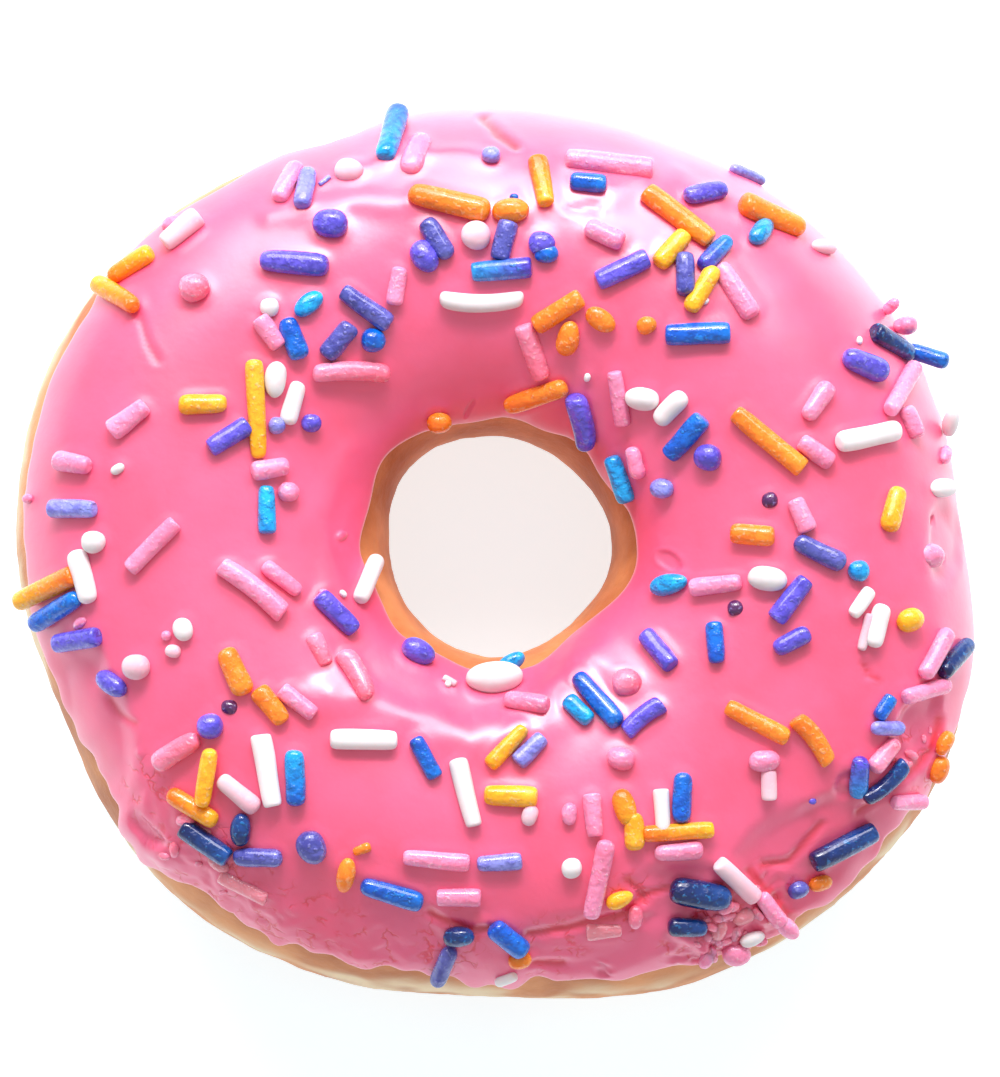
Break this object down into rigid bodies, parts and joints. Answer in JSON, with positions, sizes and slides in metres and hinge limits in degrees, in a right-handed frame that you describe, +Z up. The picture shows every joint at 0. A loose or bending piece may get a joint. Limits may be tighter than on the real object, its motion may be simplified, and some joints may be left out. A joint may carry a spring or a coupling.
{
  "type": "sprinkle frosted doughnut",
  "caption": "Oval ring doughnut of raised dough with a glossy pink icing cap, resting on its flattened base.",
  "frame": {"origin": "centre of the doughnut's box in plan, at the height of the surface it rests on", "axes": "+Z up, from the flattened base to the iced crown; X along the longer side of the oval"},
  "size_m": [0.0882, 0.0824, 0.0304],
  "materials": {
    "dough": "soft fried crust, golden brown with a paler band round the middle",
    "icing": "glossy pink sugar icing",
    "sprinkle_white": "polished white sugar",
    "sprinkle_pink": "polished pink sugar, slightly clear",
    "sprinkle_orange": "polished orange to yellow sugar, slightly clear",
    "sprinkle_blue": "pearly blue sugar",
    "sprinkle_violet": "pearly violet sugar"
  },
  "bodies": {
    "root": {"dough_ring": "dough", "icing_cap": "icing"}
  },
  "joints": []
}
